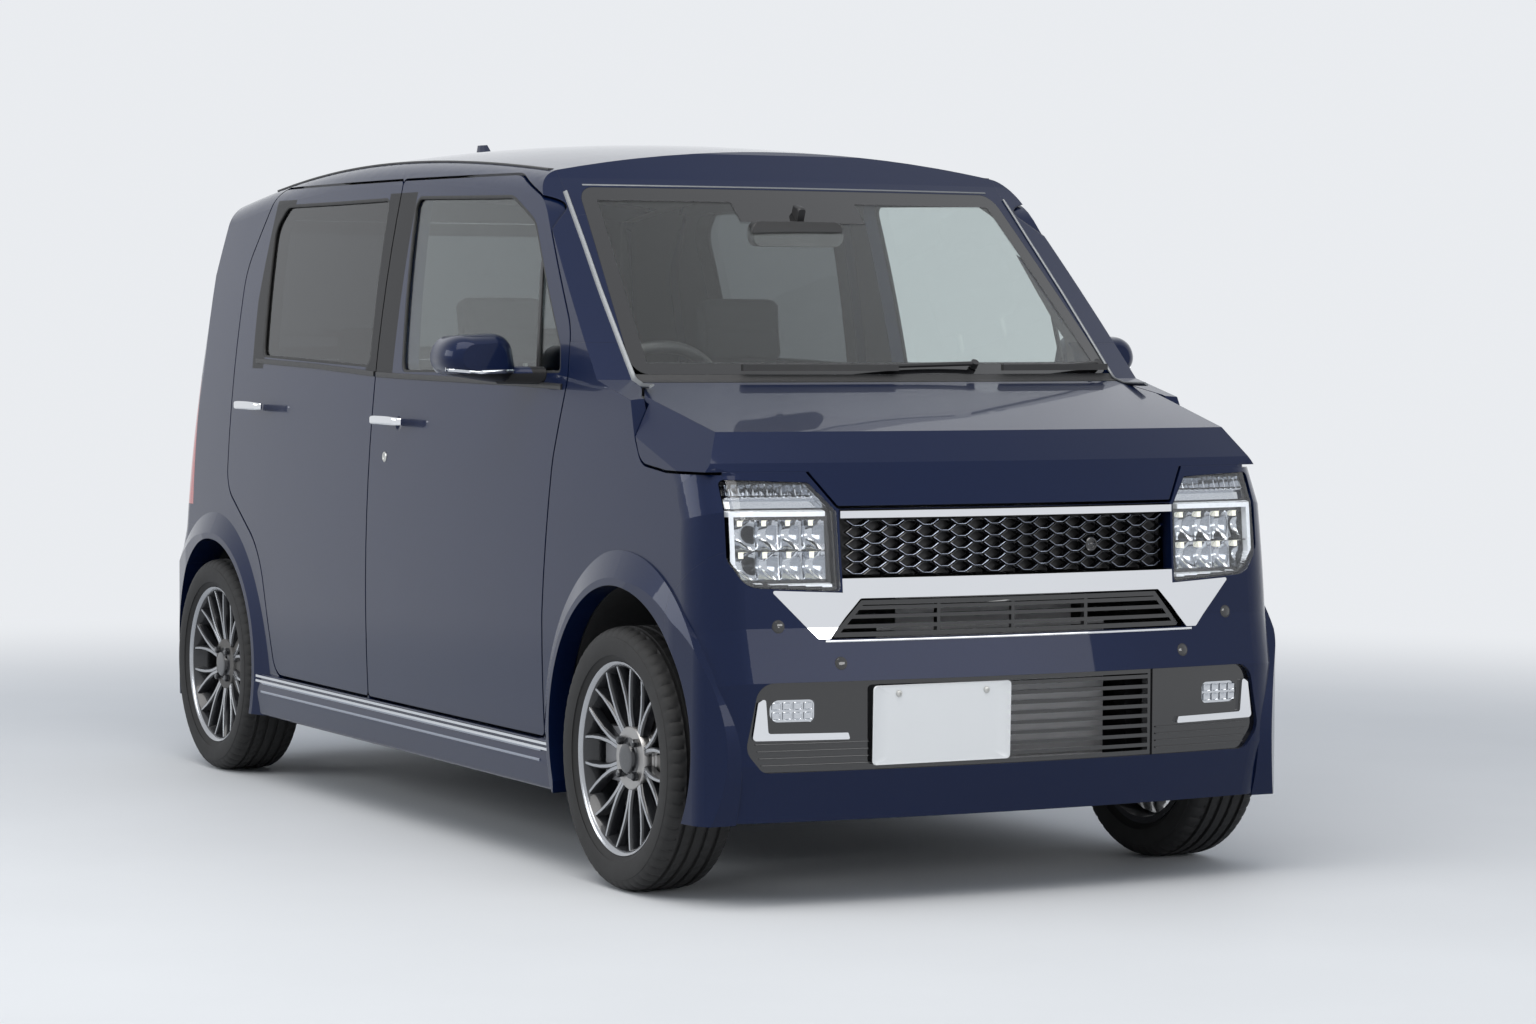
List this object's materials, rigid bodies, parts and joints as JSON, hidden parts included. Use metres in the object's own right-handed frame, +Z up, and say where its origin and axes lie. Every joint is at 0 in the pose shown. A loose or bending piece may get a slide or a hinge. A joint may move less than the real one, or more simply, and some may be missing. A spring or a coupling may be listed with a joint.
{
  "type": "kei car",
  "caption": "five-door tall wagon with opening hood, doors and tailgate, steered front wheels, free-rolling wheels and a furnished cabin",
  "frame": {"origin": "on the ground at the middle of the car's length and width", "axes": "+X to the car's left, -Y forwards, +Z up"},
  "size_m": [1.7974, 3.395, 1.6749],
  "materials": {
    "alloy_cast": "cast alloy",
    "black_plastic": "grained black plastic",
    "body_paint": "dark blue metallic gloss paint",
    "bright_chrome": "polished chrome",
    "cabin_plastic": "dark soft-touch plastic",
    "cast": "bare cast metal",
    "exhaust_steel": "dull steel",
    "floor_steel": "primed floor steel",
    "glass_clear": "clear safety glass",
    "glass_tinted": "dark tinted glass",
    "gloss_black": "gloss black plastic",
    "lamp_clear": "clear lamp cover",
    "lamp_inner": "metallised lamp inner",
    "lamp_red": "red lamp cover",
    "rim_alloy": "machined and dark painted alloy",
    "seat_fabric": "dark grey woven cloth",
    "steel_black": "black coated steel",
    "tyre_rubber": "black tyre rubber"
  },
  "bodies": {
    "root": {"bright_trim": "bright_chrome", "cowl": "black_plastic", "dashboard": "cabin_plastic", "engine_block": "alloy_cast", "exhaust": "exhaust_steel", "fender_left": "body_paint", "fender_right": "body_paint", "floor_pan": "floor_steel", "fog_bezels": "gloss_black", "fog_lamps": "lamp_clear", "front_bumper": "body_paint", "front_frame": "body_paint", "front_seat_left": "seat_fabric", "front_seat_right": "seat_fabric", "front_suspension": "steel_black", "fuel_tank": "black_plastic", "grille_mesh": "gloss_black", "headlamp_lenses": "lamp_clear", "headlamps": "lamp_inner", "lower_grilles": "black_plastic", "nose_garnish": "body_paint", "radiator": "alloy_cast", "rear_axle": "steel_black", "rear_bumper": "body_paint", "rear_seat": "seat_fabric", "roof_panel": "body_paint", "side_frame_left": "body_paint", "side_frame_right": "body_paint", "tail_lamps": "lamp_red", "wheel_houses": "black_plastic", "windshield": "glass_clear", "wipers": "black_plastic"},
    "door_front_right": {"door_front_right": "body_paint", "glass_front_right": "glass_clear", "mirror_right": "body_paint", "handle_front_right": "bright_chrome"},
    "door_rear_right": {"door_rear_right": "body_paint", "glass_rear_right": "glass_tinted", "handle_rear_right": "bright_chrome"},
    "knuckle_right": {"knuckle_right": "cast"},
    "wheel_front_right": {"rim_front_right": "rim_alloy", "tyre_front_right": "tyre_rubber"},
    "wheel_rear_right": {"rim_rear_right": "rim_alloy", "tyre_rear_right": "tyre_rubber"},
    "door_front_left": {"door_front_left": "body_paint", "glass_front_left": "glass_clear", "mirror_left": "body_paint", "handle_front_left": "bright_chrome"},
    "door_rear_left": {"door_rear_left": "body_paint", "glass_rear_left": "glass_tinted", "handle_rear_left": "bright_chrome"},
    "knuckle_left": {"knuckle_left": "cast"},
    "wheel_front_left": {"rim_front_left": "rim_alloy", "tyre_front_left": "tyre_rubber"},
    "wheel_rear_left": {"rim_rear_left": "rim_alloy", "tyre_rear_left": "tyre_rubber"},
    "hood": {"hood": "body_paint"},
    "tailgate": {"tailgate": "body_paint", "tailgate_glass": "glass_tinted"},
    "steering_wheel": {"steering_wheel": "cabin_plastic"}
  },
  "joints": [
    {"name": "steer_right", "type": "hinge", "parent": "root", "child": "knuckle_right", "pos_m": [-0.65, -1.2455, 0.19], "axis": [0.1851, 0, 0.9827], "range_deg": [-35, 35]},
    {"name": "spin_front_right", "type": "hinge", "parent": "knuckle_right", "child": "wheel_front_right", "pos_m": [-0.6525, -1.2455, 0.281], "axis": [1, 0, 0], "continuous": true},
    {"name": "spin_rear_right", "type": "hinge", "parent": "root", "child": "wheel_rear_right", "pos_m": [-0.6525, 1.2745, 0.281], "axis": [1, 0, 0], "continuous": true},
    {"name": "hinge_door_front_right", "type": "hinge", "parent": "root", "child": "door_front_right", "pos_m": [-0.722, -0.9, 0.6], "axis": [0, 0, 1], "range_deg": [0, 62]},
    {"name": "hinge_door_rear_right", "type": "hinge", "parent": "root", "child": "door_rear_right", "pos_m": [-0.722, 0.205, 0.6], "axis": [0, 0, 1], "range_deg": [0, 68]},
    {"name": "steer_left", "type": "hinge", "parent": "root", "child": "knuckle_left", "pos_m": [0.65, -1.2455, 0.19], "axis": [-0.1851, 0, 0.9827], "range_deg": [-35, 35]},
    {"name": "spin_front_left", "type": "hinge", "parent": "knuckle_left", "child": "wheel_front_left", "pos_m": [0.6525, -1.2455, 0.281], "axis": [1, 0, 0], "continuous": true},
    {"name": "spin_rear_left", "type": "hinge", "parent": "root", "child": "wheel_rear_left", "pos_m": [0.6525, 1.2745, 0.281], "axis": [1, 0, 0], "continuous": true},
    {"name": "hinge_door_front_left", "type": "hinge", "parent": "root", "child": "door_front_left", "pos_m": [0.722, -0.9, 0.6], "axis": [0, 0, 1], "range_deg": [-62, 0]},
    {"name": "hinge_door_rear_left", "type": "hinge", "parent": "root", "child": "door_rear_left", "pos_m": [0.722, 0.205, 0.6], "axis": [0, 0, 1], "range_deg": [-68, 0]},
    {"name": "steering_wheel_turn", "type": "hinge", "parent": "root", "child": "steering_wheel", "pos_m": [-0.33, -0.56, 0.985], "axis": [0, 0.8829, 0.4695], "range_deg": [-540, 540]},
    {"name": "hinge_hood", "type": "hinge", "parent": "root", "child": "hood", "pos_m": [0, -1.02, 1.062], "axis": [-1, 0, 0], "range_deg": [0, 52]},
    {"name": "hinge_tailgate", "type": "hinge", "parent": "root", "child": "tailgate", "pos_m": [0, 1.19, 1.59], "axis": [-1, 0, 0], "range_deg": [-78, 0]}
  ],
  "couplings": [
    {"joint": "steer_right", "follows": "steer_left", "ratio": 1},
    {"joint": "steering_wheel_turn", "follows": "steer_left", "ratio": 15}
  ]
}
